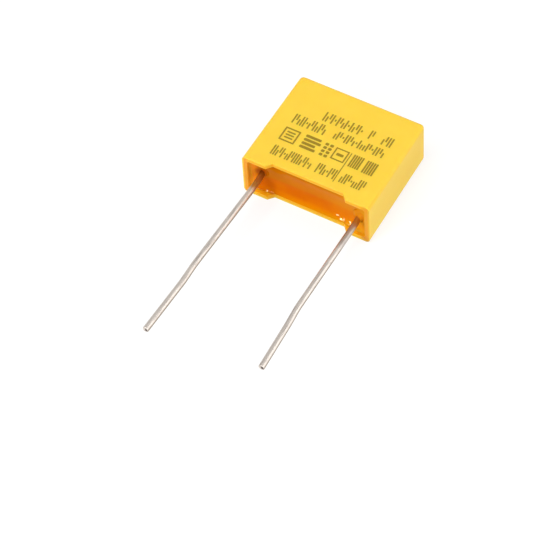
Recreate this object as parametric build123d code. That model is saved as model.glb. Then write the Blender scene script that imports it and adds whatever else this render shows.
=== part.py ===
from build123d import *
from math import cosh, radians, tan
import os

os.makedirs("parts", exist_ok=True)

# Film capacitor in a potted box, millimetres.
# X runs along the box, Y from the seating plane of the feet (y = 0) up to the closed end,
# Z through the box from the plain wide wall to the marked one. The leads leave along -Y.
# The origin is midway between the two leads, on the seating plane.

# Box
lead_pitch = 10.0
end_margin = 1.5
case_height = 11.0
case_thickness = 5.0
wall = 0.5
top_wall = 0.6
draft_angle = 0.5
corner_radius = 0.45
crown_radius = 0.5
inner_corner_radius = 0.25

# Open end: a foot at each end, with both wide walls set back between them
recess_depth = 0.55
foot_length = 2.4
foot_slope_run = 0.5

# Potting
fill_below_rim = 0.05
fill_sag = 0.6
end_climb = 0.2
meniscus_width = 0.9
left_collar_radius = 0.15
right_collar_radius = 0.5
side_cover = 0.3
top_cover = 0.5
mouth_cover = 0.7

# Capacitor element
spray_thickness = 0.3
spray_edge_bevel = 0.12

# Lead wires
lead_diameter = 0.6
pressed_thickness = 0.5
pressed_width = 0.7
pressed_corner_radius = 0.14
lap_length = 5.0
left_lead_length = 19.0
right_lead_length = 17.55
wire_bend_radius = 12.0
cut_edge_bevel = 0.05
# Hand fitting leaves the wires a little off their seats: both to the right, the right one low
left_seat_shift = -0.15
right_seat_shift = 0.11
right_seat_drop = 0.35
# Where each wire changes direction: (outward of its seat, below the seating plane)
left_lead_bends = [(0.0, 1.2), (0.38, 10.95), (0.34, 12.95)]
right_lead_bends = [(0.0, 1.2), (-0.08, 10.55), (0.05, 12.5)]
left_tip_offset = 0.59
right_tip_offset = 0.23

# Welds
weld_gap = 0.05
weld_length = 2.6
weld_width = 1.3
weld_height = 0.35
weld_edge_bevel = 0.18
weld_past_wire = 0.4

# Sizes that follow from the ones above
case_length = lead_pitch + 2 * end_margin
draft_slope = tan(radians(draft_angle))
cavity_height = case_height - top_wall
rim_level = recess_depth + fill_below_rim
fill_middle_level = rim_level + fill_sag
element_bottom = fill_middle_level + mouth_cover
element_top = cavity_height - top_cover
element_height = element_top - element_bottom
element_middle = (element_bottom + element_top) / 2
element_thickness = case_thickness - 2 * wall - 2 * side_cover - 2 * cavity_height * draft_slope
seat_x = lead_pitch / 2
spray_face_x = seat_x - pressed_thickness / 2 - weld_gap
film_half_width = spray_face_x - spray_thickness
wire_top = element_bottom + lap_length

# Seating plane, looking up into the box
mouth = Plane(origin=(0, 0, 0), x_dir=(1, 0, 0), z_dir=(0, 1, 0))


def drafted_block(length, thickness, height, radius):
    """A box with rounded corners that gets narrower towards the closed end."""
    outline = mouth * RectangleRounded(length, thickness, radius)
    return extrude(outline, height, taper=draft_angle)


def make_cavity():
    """The space inside the box, from the seating plane to the closed end."""
    return drafted_block(
        case_length - 2 * wall, case_thickness - 2 * wall, cavity_height, inner_corner_radius
    )


def make_case():
    """Moulded box: closed at the top, with two feet and sloped foot ends at the mouth."""
    shell = drafted_block(case_length, case_thickness, case_height, corner_radius)
    closed_face = shell.faces().sort_by(Axis.Y)[-1]
    shell = fillet(closed_face.edges(), crown_radius)
    shell = shell - make_cavity()
    recess_half = case_length / 2 - foot_length
    slope_half = recess_half - foot_slope_run
    recess = Polygon(
        (-recess_half, 0),
        (recess_half, 0),
        (slope_half, recess_depth),
        (-slope_half, recess_depth),
        align=None,
    )
    return shell - extrude(recess, case_thickness, both=True)


def meniscus_level(x, z):
    """Height of the set resin's surface: highest where it wets the walls, lowest in the middle."""
    half_length = case_length / 2 - wall
    half_thickness = case_thickness / 2 - wall
    rise_at_ends = cosh(x / meniscus_width) / cosh(half_length / meniscus_width)
    rise_at_sides = cosh(z / meniscus_width) / cosh(half_thickness / meniscus_width)
    middle_rise = 1 / cosh(half_thickness / meniscus_width)
    rise = rise_at_ends + rise_at_sides - rise_at_ends * rise_at_sides
    dish = fill_sag * (1 - rise) / (1 - middle_rise)
    return rim_level + dish - end_climb * rise_at_ends


def make_meniscus_block():
    """Everything above the resin's dished surface, as deep as the cavity."""
    columns = 30
    rows = 12
    half_length = case_length / 2 - wall / 2
    half_thickness = case_thickness / 2 - wall / 2
    grid = []
    for column in range(columns + 1):
        x = half_length * (2 * column / columns - 1)
        line = []
        for row in range(rows + 1):
            z = half_thickness * (2 * row / rows - 1)
            line.append(Vector(x, meniscus_level(x, z), z))
        grid.append(line)
    surface = Face.make_surface_from_array_of_points(grid, tol=0.002)
    return extrude(surface, case_height, dir=(0, 1, 0))


def make_collar(x, z, collar_radius):
    """Resin drawn up round a lead where it leaves the potting."""
    level = meniscus_level(x, z)
    wire_radius = lead_diameter / 2
    outer_radius = wire_radius + collar_radius
    tip = level - collar_radius
    root = level + collar_radius
    outline = [
        Line((0, root), (0, tip)),
        Line((0, tip), (wire_radius, tip)),
        CenterArc((outer_radius, tip), collar_radius, 90, 90),
        Line((outer_radius, level), (outer_radius, root)),
        Line((outer_radius, root), (0, root)),
    ]
    collar = revolve(make_face(outline), axis=Axis.Y)
    return Pos(x, 0, z) * collar


def make_film_winding():
    """Metallised film wound and pressed flat, its turns running round the X axis."""
    section = Plane.YZ * Pos(element_middle, 0) * SlotOverall(element_height, element_thickness)
    return extrude(section, film_half_width, both=True)


def make_end_spray(side):
    """Zinc sprayed over one end of the winding, joining its turns."""
    section = Plane.YZ * Pos(element_middle, 0) * SlotOverall(element_height, element_thickness)
    layer = extrude(section, spray_thickness)
    outer_face = layer.faces().sort_by(Axis.X)[-1]
    layer = chamfer(outer_face.edges(), spray_edge_bevel)
    layer = Pos(film_half_width, 0, 0) * layer
    return layer if side > 0 else mirror(layer, about=Plane.YZ)


def make_lead(side, seat_shift, seat_drop, bends, tip_offset, length):
    """Tinned wire: pressed flat on the sprayed end, round from the seating plane to its cut tip."""
    round_section = mouth * Circle(lead_diameter / 2)
    stops = [(0.0, 0.0)] + [(out, -down) for out, down in bends] + [(tip_offset, -length)]
    tail = sweep(round_section, path=FilletPolyline(*stops, radius=wire_bend_radius))
    cut_face = tail.faces().sort_by(Axis.Y)[0]
    tail = chamfer(cut_face.edges(), cut_edge_bevel)
    pressed_section = (
        mouth.offset(element_bottom)
        * Pos(-seat_shift, 0)
        * RectangleRounded(pressed_thickness, pressed_width, pressed_corner_radius)
    )
    neck = loft([round_section, pressed_section])
    lap = extrude(pressed_section, lap_length)
    wire = Pos(seat_x + seat_shift, 0, -seat_drop) * (tail + neck + lap)
    return wire if side > 0 else mirror(wire, about=Plane.YZ)


def make_weld(side, seat_drop, wire):
    """Metal melted between the sprayed end and the pressed end of the wire."""
    middle = wire_top + weld_past_wire - weld_length / 2
    pad = Plane.YZ * Pos(middle, 0) * SlotOverall(weld_length, weld_width)
    bead = extrude(pad, weld_height)
    outer_face = bead.faces().sort_by(Axis.X)[-1]
    bead = Pos(spray_face_x, 0, -seat_drop) * chamfer(outer_face.edges(), weld_edge_bevel)
    if side < 0:
        bead = mirror(bead, about=Plane.YZ)
    return bead - wire


def make_potting(buried):
    """Resin that fills the box round the element, up to its dished surface."""
    fill = make_cavity() & make_meniscus_block()
    fill = fill + make_collar(-seat_x - left_seat_shift, 0, left_collar_radius)
    fill = fill + make_collar(seat_x + right_seat_shift, -right_seat_drop, right_collar_radius)
    for piece in buried:
        fill = fill - piece
    return fill


left_lead = make_lead(
    -1, left_seat_shift, 0, left_lead_bends, left_tip_offset, left_lead_length
)
right_lead = make_lead(
    1, right_seat_shift, right_seat_drop, right_lead_bends, right_tip_offset, right_lead_length
)
film_winding = make_film_winding()
left_spray = make_end_spray(-1)
right_spray = make_end_spray(1)
left_weld = make_weld(-1, 0, left_lead)
right_weld = make_weld(1, right_seat_drop, right_lead)
inner_pieces = [
    film_winding,
    left_spray,
    right_spray,
    left_weld,
    right_weld,
    left_lead,
    right_lead,
]

nodes = {
    "case": make_case(),
    "potting": make_potting(inner_pieces),
    "film_winding": film_winding,
    "end_spray_left": left_spray,
    "end_spray_right": right_spray,
    "weld_left": left_weld,
    "weld_right": right_weld,
    "lead_left": left_lead,
    "lead_right": right_lead,
}

for name, shape in nodes.items():
    export_step(shape, f"parts/{name}.step")
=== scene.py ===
import bpy
import math
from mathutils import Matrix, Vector


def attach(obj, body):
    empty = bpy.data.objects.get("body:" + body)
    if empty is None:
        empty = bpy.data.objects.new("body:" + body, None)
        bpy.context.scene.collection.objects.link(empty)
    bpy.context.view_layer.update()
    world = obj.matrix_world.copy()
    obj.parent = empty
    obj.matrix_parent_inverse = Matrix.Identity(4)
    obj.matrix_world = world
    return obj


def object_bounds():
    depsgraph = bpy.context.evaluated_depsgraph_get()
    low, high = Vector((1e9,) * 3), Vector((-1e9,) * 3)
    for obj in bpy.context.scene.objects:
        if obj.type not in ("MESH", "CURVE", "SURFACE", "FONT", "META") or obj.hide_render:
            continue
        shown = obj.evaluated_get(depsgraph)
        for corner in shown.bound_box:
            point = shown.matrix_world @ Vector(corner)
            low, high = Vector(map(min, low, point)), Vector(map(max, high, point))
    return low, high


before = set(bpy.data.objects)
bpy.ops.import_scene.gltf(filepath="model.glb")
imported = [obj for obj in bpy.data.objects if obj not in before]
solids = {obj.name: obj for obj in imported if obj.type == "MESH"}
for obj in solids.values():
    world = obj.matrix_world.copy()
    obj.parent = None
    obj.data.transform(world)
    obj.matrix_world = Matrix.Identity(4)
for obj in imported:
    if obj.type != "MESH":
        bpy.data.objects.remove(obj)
cad_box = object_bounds()
scene = bpy.context.scene
scene.view_settings.view_transform = "Standard"
mm = 0.001

# Camera: a long lens from above the open end, with the box lying on its plain wide wall
# and its marked wall up.
lens = bpy.data.cameras.new("camera")
lens.sensor_width = 36
lens.lens = 183.352
lens.clip_start = 0.02
camera = bpy.data.objects.new("camera", lens)
camera.location = (79.965 * mm, -131.107 * mm, 199.592 * mm)
camera.rotation_euler = (0.62848, 0.04027, 0.51327)
scene.collection.objects.link(camera)
scene.camera = camera


# Film winding: two metallised plastic films wound together and pressed flat. The turns show
# at its sides as fine bands of silvery grey.
def new_finish(name, roughness, metallic=0.0):
    finish = bpy.data.materials.new(name)
    finish.use_nodes = True
    shader = finish.node_tree.nodes["Principled BSDF"]
    shader.inputs["Roughness"].default_value = roughness
    shader.inputs["Metallic"].default_value = metallic
    return finish, shader


def in_millimetres(finish, stretch=(1, 1, 1)):
    """Places on the part in millimetres. A stretch below 1 draws a pattern out that way."""
    nodes = finish.node_tree.nodes
    place = nodes.new("ShaderNodeTexCoord")
    scale = nodes.new("ShaderNodeMapping")
    scale.inputs["Scale"].default_value = [s / mm for s in stretch]
    finish.node_tree.links.new(place.outputs["Object"], scale.inputs["Vector"])
    return scale.outputs["Vector"]


def mottle(finish, place, size, detail=3.0):
    """Noise from 0 to 1, its features about size millimetres across."""
    noise = finish.node_tree.nodes.new("ShaderNodeTexNoise")
    noise.inputs["Scale"].default_value = 1 / size
    noise.inputs["Detail"].default_value = detail
    finish.node_tree.links.new(place, noise.inputs["Vector"])
    return noise.outputs["Fac"]


def shade_range(finish, value, stops):
    """Colours or greys along a value, as (position, colour) stops."""
    ramp = finish.node_tree.nodes.new("ShaderNodeValToRGB")
    band = ramp.color_ramp
    while len(band.elements) < len(stops):
        band.elements.new(0.5)
    for element, (position, colour) in zip(band.elements, stops):
        element.position = position
        element.color = (*colour, 1) if isinstance(colour, tuple) else (colour, colour, colour, 1)
    finish.node_tree.links.new(value, ramp.inputs["Fac"])
    return ramp.outputs["Color"]


def relief(finish, shader, height, depth):
    """Bump of depth millimetres."""
    bump = finish.node_tree.nodes.new("ShaderNodeBump")
    bump.inputs["Distance"].default_value = depth * mm
    finish.node_tree.links.new(height, bump.inputs["Height"])
    finish.node_tree.links.new(bump.outputs["Normal"], shader.inputs["Normal"])


def give_finish(node, finish):
    solid = solids[node]
    if not solid.data.materials:
        solid.data.materials.append(finish)
    for place in solid.material_slots:
        place.material = finish


film_finish, film_shader = new_finish("film_finish", 0.3, 0.85)
across_turns = in_millimetres(film_finish, (0.15, 1, 1))
turns = mottle(film_finish, across_turns, 0.12, 2)
film_finish.node_tree.links.new(
    shade_range(film_finish, turns, [(0.3, (0.42, 0.43, 0.45)), (0.7, (0.62, 0.63, 0.66))]),
    film_shader.inputs["Base Color"],
)
relief(film_finish, film_shader, turns, 0.01)
give_finish("film_winding", film_finish)

# End sprays: zinc sprayed molten over both ends of the winding, where it sets as a dull,
# grainy grey crust that joins all the turns.
spray_finish, spray_shader = new_finish("spray_finish", 0.75, 0.6)
spray_place = in_millimetres(spray_finish)
spray_grain = mottle(spray_finish, spray_place, 0.08, 5)
spray_finish.node_tree.links.new(
    shade_range(spray_finish, spray_grain, [(0.3, (0.2, 0.2, 0.21)), (0.7, (0.42, 0.42, 0.43))]),
    spray_shader.inputs["Base Color"],
)
relief(spray_finish, spray_shader, spray_grain, 0.03)
for node in ("end_spray_left", "end_spray_right"):
    give_finish(node, spray_finish)

# Welds: smooth beads of once-melted solder that hold the pressed ends of the leads on the
# sprayed ends.
weld_finish, weld_shader = new_finish("weld_finish", 0.25, 1.0)
weld_place = in_millimetres(weld_finish)
weld_ripple = mottle(weld_finish, weld_place, 0.35, 2)
weld_finish.node_tree.links.new(
    shade_range(weld_finish, weld_ripple, [(0.3, (0.5, 0.49, 0.48)), (0.7, (0.72, 0.71, 0.7))]),
    weld_shader.inputs["Base Color"],
)
relief(weld_finish, weld_shader, weld_ripple, 0.04)
for node in ("weld_left", "weld_right"):
    give_finish(node, weld_finish)

# Lead wires: copper-clad steel wire, hot tinned, with fine lines from the drawing die,
# a few scuffs from handling, and a brown stain where the resin wicked along it. The underside
# and the outer edge are painted darker, a painted dark reflection.
left_tip_x = -5.44
right_tip_x = 5.34
right_wire_drop = 0.35
wire_finish, wire_shader = new_finish("wire_finish", 0.28, 1.0)
links = wire_finish.node_tree.links


def amount(finish, value, low, high):
    """A value from low to high as 0 to 1, with soft ends."""
    span = finish.node_tree.nodes.new("ShaderNodeMapRange")
    span.interpolation_type = "SMOOTHSTEP"
    span.inputs["From Min"].default_value = low
    span.inputs["From Max"].default_value = high
    finish.node_tree.links.new(value, span.inputs["Value"])
    return span.outputs["Result"]


def calc(finish, operation, first, second=None):
    result = finish.node_tree.nodes.new("ShaderNodeMath")
    result.operation = operation
    for socket, value in zip(result.inputs, (first, second)):
        if isinstance(value, (int, float)):
            socket.default_value = value
        elif value is not None:
            finish.node_tree.links.new(value, socket)
    return result.outputs["Value"]


def blend_colour(finish, share, first, second):
    """The first colour where share is 0, the second where it is 1."""
    mix = finish.node_tree.nodes.new("ShaderNodeMix")
    mix.data_type = "RGBA"
    finish.node_tree.links.new(share, mix.inputs["Factor"])
    for socket, value in ((mix.inputs["A"], first), (mix.inputs["B"], second)):
        if isinstance(value, tuple):
            socket.default_value = (*value, 1)
        else:
            finish.node_tree.links.new(value, socket)
    return mix.outputs["Result"]


def axes_of(finish, vector):
    split = finish.node_tree.nodes.new("ShaderNodeSeparateXYZ")
    finish.node_tree.links.new(vector, split.inputs["Vector"])
    return split.outputs


def facing(finish, direction):
    """How far the surface faces a fixed direction of the part, from -1 to 1."""
    place = finish.node_tree.nodes.new("ShaderNodeTexCoord")
    dot = finish.node_tree.nodes.new("ShaderNodeVectorMath")
    dot.operation = "DOT_PRODUCT"
    dot.inputs[1].default_value = Vector(direction).normalized()
    finish.node_tree.links.new(place.outputs["Normal"], dot.inputs[0])
    return dot.outputs["Value"]


wire_place = in_millimetres(wire_finish)
wire_axes = axes_of(wire_finish, wire_place)
draw_lines = mottle(wire_finish, in_millimetres(wire_finish, (1, 0.03, 1)), 0.07, 2)
scuffs = mottle(wire_finish, in_millimetres(wire_finish, (1, 0.3, 1)), 0.3, 5)
tin = shade_range(wire_finish, scuffs, [
    (0.3, (0.3, 0.26, 0.24)), (0.35, (0.74, 0.67, 0.61)), (0.7, (0.84, 0.77, 0.7))])
in_line = amount(wire_finish, draw_lines, 0.46, 0.3)
tin = blend_colour(wire_finish, in_line, tin, (0.5, 0.45, 0.41))
# Painted dark reflection: the underside is painted brown, as if it reflected the shaded floor
# beneath
painted_dark_underside = amount(wire_finish, facing(wire_finish, (0.9, 0, -0.45)), 0.45, 0.85)
tin = blend_colour(wire_finish, painted_dark_underside, tin, (0.33, 0.26, 0.19))
# Painted dark reflection: the outer edge is painted a darker grey
painted_dark_outer_edge = amount(wire_finish, facing(wire_finish, (-0.92, 0, 0.38)), 0.85, 0.98)
tin = blend_colour(wire_finish, painted_dark_outer_edge, tin, (0.62, 0.56, 0.52))
# The right wire is duller near the box
right_wire = calc(wire_finish, "GREATER_THAN", wire_axes["X"], 0)
near_box = amount(wire_finish, wire_axes["Y"], -3.6, -2.6)
dulled = calc(wire_finish, "MULTIPLY", right_wire, near_box)
tin = blend_colour(wire_finish, dulled, tin, (0.52, 0.47, 0.43))
# The resin wicked further along the left wire than along the right one
less_on_right = calc(wire_finish, "MULTIPLY", right_wire, 0.82)
wicked = calc(wire_finish, "SUBTRACT", wire_axes["Y"], less_on_right)
ragged = calc(wire_finish, "MULTIPLY", mottle(wire_finish, wire_place, 0.3), 0.8)
wicked = calc(wire_finish, "ADD", wicked, ragged)
root_stain = blend_colour(wire_finish, right_wire, (0.34, 0.185, 0.028), (0.29, 0.235, 0.11))
at_root = amount(wire_finish, wicked, 0.3, 1.2)
stain = blend_colour(wire_finish, at_root, (0.56, 0.34, 0.1), root_stain)
tin = blend_colour(wire_finish, amount(wire_finish, wicked, -1.15, -0.55), tin, stain)
# Bare metal darkens the upper right part of both cut faces
tip_middle = calc(wire_finish, "MULTIPLY", right_wire, right_tip_x - left_tip_x)
tip_middle = calc(wire_finish, "ADD", tip_middle, left_tip_x)
off_middle = calc(wire_finish, "SUBTRACT", wire_axes["X"], tip_middle)
bare = amount(wire_finish, off_middle, -0.1, 0.06)
cut_face = amount(wire_finish, facing(wire_finish, (0, -1, 0)), 0.8, 0.95)
drop = calc(wire_finish, "MULTIPLY", right_wire, right_wire_drop)
off_axis = calc(wire_finish, "ADD", wire_axes["Z"], drop)
bare = calc(wire_finish, "MULTIPLY", bare, amount(wire_finish, off_axis, -0.2, -0.02))
bare = calc(wire_finish, "MULTIPLY", bare, cut_face)
tin = blend_colour(wire_finish, bare, tin, (0.1, 0.075, 0.07))
links.new(tin, wire_shader.inputs["Base Color"])
links.new(
    shade_range(wire_finish, scuffs, [(0.3, 0.6), (0.4, 0.42), (1.0, 0.5)]),
    wire_shader.inputs["Roughness"],
)
relief(wire_finish, wire_shader, draw_lines, 0.004)
for node in ("lead_left", "lead_right"):
    give_finish(node, wire_finish)

# Case: injection-moulded flame-retardant polyester, bright yellow, with the fine matt skin of a
# spark-eroded mould. Round the resin its thin walls are painted orange, a painted glow.
inner_half_length = 6.0
inner_half_thickness = 2.0
case_finish, case_shader = new_finish("case_finish", 0.42)
links = case_finish.node_tree.links
case_place = in_millimetres(case_finish)
case_axes = axes_of(case_finish, case_place)
cloud = mottle(case_finish, case_place, 2.5, 3)
yellow = shade_range(
    case_finish, cloud, [(0.3, (0.96, 0.61, 0.053)), (0.7, (0.985, 0.64, 0.062))]
)
from_middle = calc(case_finish, "ABSOLUTE", case_axes["X"])
past_end_wall = calc(case_finish, "SUBTRACT", from_middle, inner_half_length)
from_middle = calc(case_finish, "ABSOLUTE", case_axes["Z"])
past_wide_wall = calc(case_finish, "SUBTRACT", from_middle, inner_half_thickness)
depth_in_wall = calc(case_finish, "MAXIMUM", past_end_wall, past_wide_wall)
# Painted glow: near the mouth the walls are painted orange, deepest on the inner faces above the
# low wall and less at the right end
near_mouth = amount(case_finish, case_axes["Y"], 3.0, 1.5)
in_glow = amount(case_finish, depth_in_wall, 0.45, 0.25)
glow = calc(case_finish, "MULTIPLY", in_glow, near_mouth)
above_low_wall = amount(case_finish, case_axes["Z"], -1.95, -1.65)
on_inner_face = amount(case_finish, depth_in_wall, 0.2, 0.0)
deep_glow = calc(case_finish, "MULTIPLY", on_inner_face, above_low_wall)
deep_glow = calc(case_finish, "MULTIPLY", deep_glow, near_mouth)
at_right = amount(case_finish, case_axes["X"], 5.4, 6.0)
inner_face = blend_colour(case_finish, at_right, (1.0, 0.46, 0.03), (0.82, 0.33, 0.01))
tinted = blend_colour(case_finish, glow, yellow, (1.0, 0.45, 0.006))
tinted = blend_colour(case_finish, deep_glow, tinted, inner_face)
# The rims of both ends are a shade deeper
rim_face = amount(case_finish, facing(case_finish, (0, -1, 0)), 0.7, 0.95)
right_rim = calc(case_finish, "MULTIPLY", at_right, rim_face)
deeper = blend_colour(case_finish, glow, (0.8, 0.46, 0.034), (0.8, 0.34, 0.014))
tinted = blend_colour(case_finish, right_rim, tinted, deeper)
left_rim = amount(case_finish, case_axes["X"], -5.9, -6.05)
left_rim = calc(case_finish, "MULTIPLY", calc(case_finish, "MULTIPLY", left_rim, rim_face), glow)
tinted = blend_colour(case_finish, left_rim, tinted, (0.87, 0.36, 0.015))
links.new(tinted, case_shader.inputs["Base Color"])
case_shader.inputs["Specular IOR Level"].default_value = 0.2
case_shader.inputs["Subsurface Weight"].default_value = 0.5
case_shader.inputs["Subsurface Radius"].default_value = (1.0, 0.45, 0.08)
case_shader.inputs["Subsurface Scale"].default_value = 0.6 * mm
skin = mottle(case_finish, case_place, 0.09, 4)
relief(case_finish, case_shader, skin, 0.008)
give_finish("case", case_finish)

# Marking: dark brown ink printed on the upper wide wall. It holds only plain strokes, blocks,
# frames and a dividing rule, set out in four rows.
wall_top = cad_box[1][2]
draft_angle = 0.5
wall_slope = math.tan(math.radians(draft_angle))
plate_bottom = -0.002
plate_top = 0.003
corner_share = 0.3
corner_points = 4
dash_half_height = 0.12
mark_finish, mark_shader = new_finish("mark_finish", 0.55)
mark_place = in_millimetres(mark_finish)
density = mottle(mark_finish, mark_place, 0.07, 3)
mark_finish.node_tree.links.new(
    shade_range(mark_finish, density, [(0.35, (0.29, 0.18, 0.012)), (0.7, (0.4, 0.25, 0.02))]),
    mark_shader.inputs["Base Color"],
)
mark_shader.inputs["Specular IOR Level"].default_value = 0.2
relief(mark_finish, mark_shader, density, 0.002)
mark_corners = []
mark_faces = []


def print_bar(left, low, right, high):
    """One printed bar with rounded corners, a thin closed plate on the wall."""
    radius = corner_share * min(right - left, high - low)
    outline = []
    for quarter, (x, y) in enumerate(
        ((right - radius, high - radius), (left + radius, high - radius),
         (left + radius, low + radius), (right - radius, low + radius))
    ):
        for step in range(corner_points):
            turn = math.radians(90 * quarter + 90 / (corner_points - 1) * step)
            outline.append((x + radius * math.cos(turn), y + radius * math.sin(turn)))
    first = len(mark_corners)
    count = len(outline)
    for lift in (plate_bottom, plate_top):
        for x, y in outline:
            z = wall_top - y * mm * wall_slope + lift * mm
            mark_corners.append((x * mm, y * mm, z))
    mark_faces.append([first + count + n for n in range(count)])
    mark_faces.append([first + n for n in reversed(range(count))])
    for n in range(count):
        m = (n + 1) % count
        mark_faces.append([first + n, first + m, first + count + m, first + count + n])


def stroke_row(left, right, low, high, pitch, weight, heights):
    """Upright strokes at one pitch: full, upper half, lower half or middle, by the letters."""
    middle = (low + high) / 2
    for n in range(round((right - left) / pitch)):
        x = left + pitch * (n + 0.5)
        kind = heights[n % len(heights)]
        bottom = low if kind in "fl" else middle - dash_half_height
        top = high if kind in "fu" else middle + dash_half_height
        print_bar(x - weight / 2, bottom, x + weight / 2, top)


def frame_bars(left, low, right, high, weight):
    print_bar(left, low, right, low + weight)
    print_bar(left, high - weight, right, high)
    print_bar(left, low + weight, left + weight, high - weight)
    print_bar(right - weight, low + weight, right, high - weight)


# First and second rows
stroke_row(-2.2, 1.75, 7.0, 8.1, 0.27, 0.15, "flufmfulfm")
stroke_row(2.45, 3.0, 7.05, 8.1, 0.27, 0.14, "fu")
stroke_row(3.8, 4.9, 7.0, 8.1, 0.27, 0.15, "luff")
stroke_row(-4.55, -1.1, 5.5, 6.65, 0.26, 0.15, "fulffmlufl")
stroke_row(-0.35, 4.9, 5.6, 6.6, 0.27, 0.15, "lfumffulmfl")
# Fourth row, and the upright rule through it and the third
stroke_row(-4.5, -0.35, 1.45, 2.6, 0.24, 0.14, "fflufmlfuf")
stroke_row(0.05, 2.0, 1.45, 2.6, 0.25, 0.14, "fuflm")
stroke_row(2.5, 5.0, 1.45, 2.6, 0.25, 0.14, "lffuml")
print_bar(2.1, 1.25, 2.19, 4.9)
# Third row: a frame with three bars, four bars, blocks, a frame with one bar, and strokes
frame_bars(-4.6, 3.3, -3.05, 4.9, 0.15)
for low in (3.7, 4.03, 4.36):
    print_bar(-4.25, low, -3.4, low + 0.16)
for low, right in ((3.35, -0.95), (3.79, -1.15), (4.23, -0.8), (4.67, -0.95)):
    print_bar(-2.5, low, right, low + 0.29)
for left in (-0.5, -0.02):
    for low in (3.35, 3.78, 4.21, 4.64):
        print_bar(left, low, left + 0.34, low + 0.3)
frame_bars(0.6, 3.5, 1.95, 4.9, 0.13)
print_bar(0.92, 4.05, 1.63, 4.35)
stroke_row(2.4, 3.5, 3.4, 4.9, 0.22, 0.15, "f")
stroke_row(3.8, 4.95, 3.35, 4.85, 0.23, 0.16, "f")

mark_mesh = bpy.data.meshes.new("marking")
mark_mesh.from_pydata(mark_corners, [], mark_faces)
mark_mesh.materials.append(mark_finish)
marking = bpy.data.objects.new("marking", mark_mesh)
scene.collection.objects.link(marking)
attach(marking, "root")

# Potting: amber epoxy poured in from the open end and cured. Its glossy surface is dished,
# climbs the walls in small scallops and rises round both leads.
resin_finish, resin_shader = new_finish("resin_finish", 0.09)
links = resin_finish.node_tree.links
resin_place = in_millimetres(resin_finish)
resin_axes = axes_of(resin_finish, resin_place)
# Redder towards the left end, more golden towards the right one
towards_right = amount(resin_finish, resin_axes["X"], -6, 6)
amber = shade_range(resin_finish, towards_right, [
    (0.08, (0.65, 0.13, 0.0)), (0.4, (0.66, 0.137, 0.0)),
    (0.65, (0.68, 0.143, 0.0)), (0.95, (0.76, 0.205, 0.002))])
paler_amber = shade_range(resin_finish, towards_right, [
    (0.1, (0.7, 0.165, 0.0)), (0.28, (0.77, 0.225, 0.0)),
    (0.75, (0.79, 0.255, 0.0)), (0.95, (0.81, 0.31, 0.004))])
shaded_amber = shade_range(resin_finish, towards_right, [
    (0.05, (0.56, 0.155, 0.0)), (0.25, (0.625, 0.17, 0.0)),
    (0.62, (0.66, 0.18, 0.0)), (0.95, (0.75, 0.255, 0.004))])
# Paler near the low wall, where the resin is thin over the yellow wall, and partly painted light
# where its surface tips up to the lamps
near_low_wall = amount(resin_finish, resin_axes["Z"], -1.4, -1.95)
amber = blend_colour(resin_finish, near_low_wall, amber, paler_amber)
# Painted shade: darker under the high wall, where the wall shades the resin
under_high_wall = amount(resin_finish, resin_axes["Z"], -0.75, -0.3)
amber = blend_colour(resin_finish, under_high_wall, amber, shaded_amber)
# Painted light: the left end and the resin on its wall are painted a brighter orange where the box
# shades them
at_left_end = amount(resin_finish, resin_axes["X"], -5.2, -5.75)
amber = blend_colour(resin_finish, at_left_end, amber, (1.0, 0.3, 0.01))
on_left_wall = amount(resin_finish, resin_axes["X"], -5.72, -5.92)
amber = blend_colour(resin_finish, on_left_wall, amber, (1.0, 0.37, 0.015))
at_right_end = amount(resin_finish, resin_axes["X"], 4.6, 5.6)
upper_part = amount(resin_finish, resin_axes["Z"], -1.5, -0.9)
right_end_amber = blend_colour(resin_finish, upper_part, (0.98, 0.4, 0.01), (0.8, 0.33, 0.012))
amber = blend_colour(resin_finish, at_right_end, amber, right_end_amber)


def distance_from(finish, axes, x, z):
    """Distance across the potting from one place on it."""
    off_x = calc(finish, "POWER", calc(finish, "SUBTRACT", axes["X"], x), 2.0)
    off_z = calc(finish, "POWER", calc(finish, "SUBTRACT", axes["Z"], z), 2.0)
    return calc(finish, "SQRT", calc(finish, "ADD", off_x, off_z))


# Painted shade round the left wire, and on the low side of the right one
flow = mottle(resin_finish, resin_place, 1.3, 2)
off_left_wire = distance_from(resin_finish, resin_axes, -5.0, 0.1)
off_left_wire = calc(resin_finish, "ADD", off_left_wire, calc(resin_finish, "MULTIPLY", flow, 0.3))
painted_shade_round_left_wire = amount(resin_finish, off_left_wire, 0.95, 0.5)
amber = blend_colour(resin_finish, painted_shade_round_left_wire, amber, (0.47, 0.09, 0.0))
off_right_wire = distance_from(resin_finish, resin_axes, 5.05, -0.75)
painted_shade_below_right_wire = amount(resin_finish, off_right_wire, 0.5, 0.25)
amber = blend_colour(resin_finish, painted_shade_below_right_wire, amber, (0.4, 0.17, 0.0))
streaks = calc(resin_finish, "MULTIPLY", amount(resin_finish, flow, 0.35, 0.75), 0.15)
amber = blend_colour(resin_finish, streaks, amber, (0.9, 0.3, 0.0))
links.new(amber, resin_shader.inputs["Base Color"])
resin_shader.inputs["Specular IOR Level"].default_value = 0.03
resin_shader.inputs["Subsurface Weight"].default_value = 0.3
resin_shader.inputs["Subsurface Radius"].default_value = (1.0, 0.25, 0.02)
resin_shader.inputs["Subsurface Scale"].default_value = 0.6 * mm
give_finish("potting", resin_finish)

# The small ridges at the low wall set glossier than the rest
wet_finish = resin_finish.copy()
wet_finish.name = "wet_resin_finish"
wet_shader = wet_finish.node_tree.nodes["Principled BSDF"]
wet_shader.inputs["Specular IOR Level"].default_value = 0.8
wet_shader.inputs["Specular Tint"].default_value = (1, 0.85, 0.5, 1)
wet_shader.inputs["Roughness"].default_value = 0.18

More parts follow.
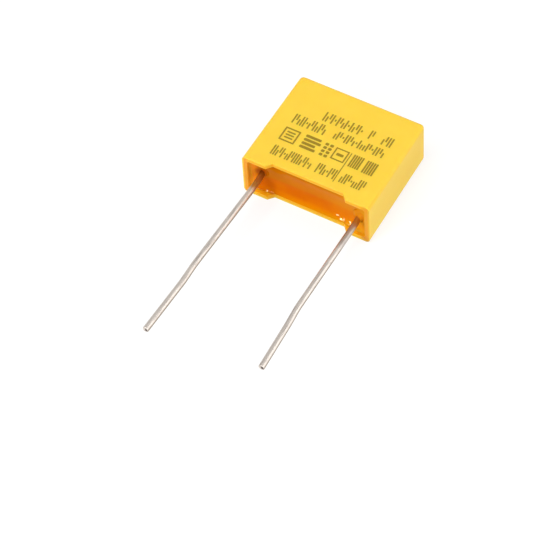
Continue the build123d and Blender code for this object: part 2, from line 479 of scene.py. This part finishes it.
inner_corner = 0.25
surface_at_walls = 0.6
dish_depth = 0.6
end_climb = 0.2
meniscus_width = 0.9
skin_cover = 0.025
foot_slope_start = 3.55
foot_slope_run = 0.17
creep_height = 0.16
creep_width = 0.16
wire_radius = 0.3
# Resin drawn up round each wire: the wire's x and z, the collar's radius
collars = ((-4.85, 0.0, 0.15), (5.11, -0.35, 0.5))
# Small ridges where the resin set as it crept up to the low wall: foot, crest, half width, height
ridges = (
    ((2.76, -1.5), (2.8, -1.61), 0.19, 0.072),
    ((3.42, -1.54), (3.55, -1.78), 0.1, 0.135),
    ((3.2, -1.7), (3.22, -1.84), 0.2, 0.07),
    ((4.07, -1.58), (4.23, -1.8), 0.14, 0.112),
    ((-3.8, -1.84), (-3.8, -1.96), 0.06, 0.016),
    ((-3.95, -1.81), (-3.95, -1.93), 0.07, 0.022),
    ((-4.36, -1.8), (-4.36, -1.93), 0.13, 0.012),
    ((-5.4, -1.8), (-5.4, -1.93), 0.12, 0.012),
)


def dish(x, z):
    """Height of the cured surface between the walls, before ripples."""
    ends = math.cosh(x / meniscus_width) / math.cosh(inner_half_length / meniscus_width)
    sides = math.cosh(z / meniscus_width) / math.cosh(inner_half_thickness / meniscus_width)
    middle = 1 / math.cosh(inner_half_thickness / meniscus_width)
    rise = ends + sides - ends * sides
    return surface_at_walls + dish_depth * (1 - rise) / (1 - middle) - end_climb * ends


def crept(x, z):
    """How far the ridges stand above the dished surface."""
    rise = 0
    for (foot_x, foot_z), (crest_x, crest_z), half_width, height in ridges:
        along = (foot_z - z) / (foot_z - crest_z)
        across = (x - foot_x - along * (crest_x - foot_x)) / half_width
        if along > 0:
            # An even slope up to the crest, then a steeper one down behind it
            slope = min(along, max(0, 3.5 - 2.5 * along))
            rise += height * slope * math.exp(-(across**8))
    return rise


def resin_level(x, z):
    level = dish(x, z)
    for seat_x, seat_z, collar in collars:
        off = math.hypot(x - seat_x, z - seat_z)
        tip = dish(seat_x, seat_z) - collar
        if off < wire_radius + collar:
            inward = min(wire_radius + collar - off, collar)
            level = min(level, tip + math.sqrt(max(collar**2 - inward**2, 0)))
    # It climbs the wide walls steeply where the feet give it more to wet
    to_wall = inner_half_thickness - abs(z)
    at_foot = min(max((abs(x) - foot_slope_start) / foot_slope_run, 0), 1)
    scallop = 0.75 + 0.1 * math.sin(5.3 * x + 0.9) * math.sin(12.1 * x + 2.0 * z)
    climb = creep_height * at_foot * at_foot * scallop * math.exp(-to_wall / creep_width)
    return level - skin_cover - climb - crept(x, z)


def inside_corner(x, z):
    """Pulls a grid point in to the rounded corner of the box."""
    past_x = abs(x) - (inner_half_length - inner_corner)
    past_z = abs(z) - (inner_half_thickness - inner_corner)
    off = math.hypot(past_x, past_z)
    if past_x > 0 and past_z > 0 and off > inner_corner:
        x = math.copysign(inner_half_length - inner_corner + past_x * inner_corner / off, x)
        z = math.copysign(inner_half_thickness - inner_corner + past_z * inner_corner / off, z)
    return x, z


columns = 560
rows = 130
points = []
for column in range(columns + 1):
    for row in range(rows + 1):
        # Rows and columns lie closer together towards the walls
        across = math.sin(math.pi / 2 * (2 * row / rows - 1))
        along = math.sin(math.pi / 2 * (2 * column / columns - 1))
        x, z = inside_corner(inner_half_length * along, inner_half_thickness * across)
        points.append((x * mm, resin_level(x, z) * mm, z * mm))
next_column = rows + 1
faces = []
for column in range(columns):
    for row in range(rows):
        n = column * next_column + row
        faces.append([n, n + next_column, n + next_column + 1, n + 1])
# Its sides and flat back, inside the box
back_level = 1.6
edge = (
    [c * next_column for c in range(columns)]
    + [columns * next_column + r for r in range(rows)]
    + [c * next_column + rows for c in range(columns, 0, -1)]
    + list(range(rows, 0, -1))
)
back = []
for n in edge:
    back.append(len(points))
    points.append((points[n][0], back_level * mm, points[n][2]))
for n in range(len(edge)):
    after = (n + 1) % len(edge)
    faces.append([edge[n], back[n], back[after], edge[after]])
faces.append(back[::-1])
surface_mesh = bpy.data.meshes.new("potting_surface")
surface_mesh.from_pydata(points, [], faces)
surface_mesh.materials.append(resin_finish)
surface_mesh.materials.append(wet_finish)
surface_mesh.shade_smooth()
for face in surface_mesh.polygons:
    if face.normal.y < -0.1 and crept(face.center.x / mm, face.center.z / mm) > 0.002:
        face.material_index = 1
potting_surface = bpy.data.objects.new("potting_surface", surface_mesh)
scene.collection.objects.link(potting_surface)
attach(potting_surface, "root")

# Floor: a plain white table top. It looks white behind the part and in its gloss, and still
# takes its shadow.
floor_size = 1.6
bpy.ops.mesh.primitive_plane_add(size=floor_size, location=(0, 0, cad_box[0][2]))
floor = bpy.context.object
floor.name = "floor"
floor_finish = bpy.data.materials.new("floor_finish")
floor_finish.use_nodes = True
nodes = floor_finish.node_tree.nodes
links = floor_finish.node_tree.links
nodes.clear()
out = nodes.new("ShaderNodeOutputMaterial")
paint = nodes.new("ShaderNodeBsdfDiffuse")
paint.inputs["Color"].default_value = (0.8, 0.8, 0.8, 1)
pale_paint = nodes.new("ShaderNodeBsdfDiffuse")
pale_paint.inputs["Color"].default_value = (0.3, 0.3, 0.3, 1)
white = nodes.new("ShaderNodeEmission")
white.inputs["Strength"].default_value = 0.74
seen_floor = nodes.new("ShaderNodeAddShader")
links.new(pale_paint.outputs["BSDF"], seen_floor.inputs[0])
links.new(white.outputs["Emission"], seen_floor.inputs[1])
rays = nodes.new("ShaderNodeLightPath")
seen = calc(floor_finish, "MAXIMUM", rays.outputs["Is Camera Ray"], rays.outputs["Is Glossy Ray"])
seen = calc(floor_finish, "MAXIMUM", seen, rays.outputs["Is Transmission Ray"])
choose = nodes.new("ShaderNodeMixShader")
links.new(seen, choose.inputs["Fac"])
links.new(paint.outputs["BSDF"], choose.inputs[1])
links.new(seen_floor.outputs["Shader"], choose.inputs[2])
links.new(choose.outputs["Shader"], out.inputs["Surface"])
floor.data.materials.append(floor_finish)

# Studio light: an even pale surround and four soft lamps, all aimed at the seating plane
# between the leads.
world = bpy.data.worlds.new("surround")
scene.world = world
world.use_nodes = True
surround = world.node_tree.nodes["Background"]
surround.inputs["Color"].default_value = (1, 1, 1, 1)
surround.inputs["Strength"].default_value = 0.6


def soft_lamp(name, place, width, height, watts):
    light = bpy.data.lights.new(name, "AREA")
    light.shape = "RECTANGLE"
    light.size = width
    light.size_y = height
    light.energy = watts
    lamp = bpy.data.objects.new(name, light)
    lamp.location = place
    lamp.rotation_euler = (-Vector(place)).to_track_quat("-Z", "Y").to_euler()
    scene.collection.objects.link(lamp)


soft_lamp("overhead_lamp", (-0.1, -0.2, 0.7), 0.28, 0.28, 1.25)
soft_lamp("side_lamp", (0.456, 0.283, 0.264), 0.54, 0.54, 1.05)
soft_lamp("fill_lamp", (0.38, -0.58, 0.12), 0.3, 0.3, 0.75)
soft_lamp("front_lamp", (-0.235, -0.505, 0.424), 0.16, 0.1, 1.4)
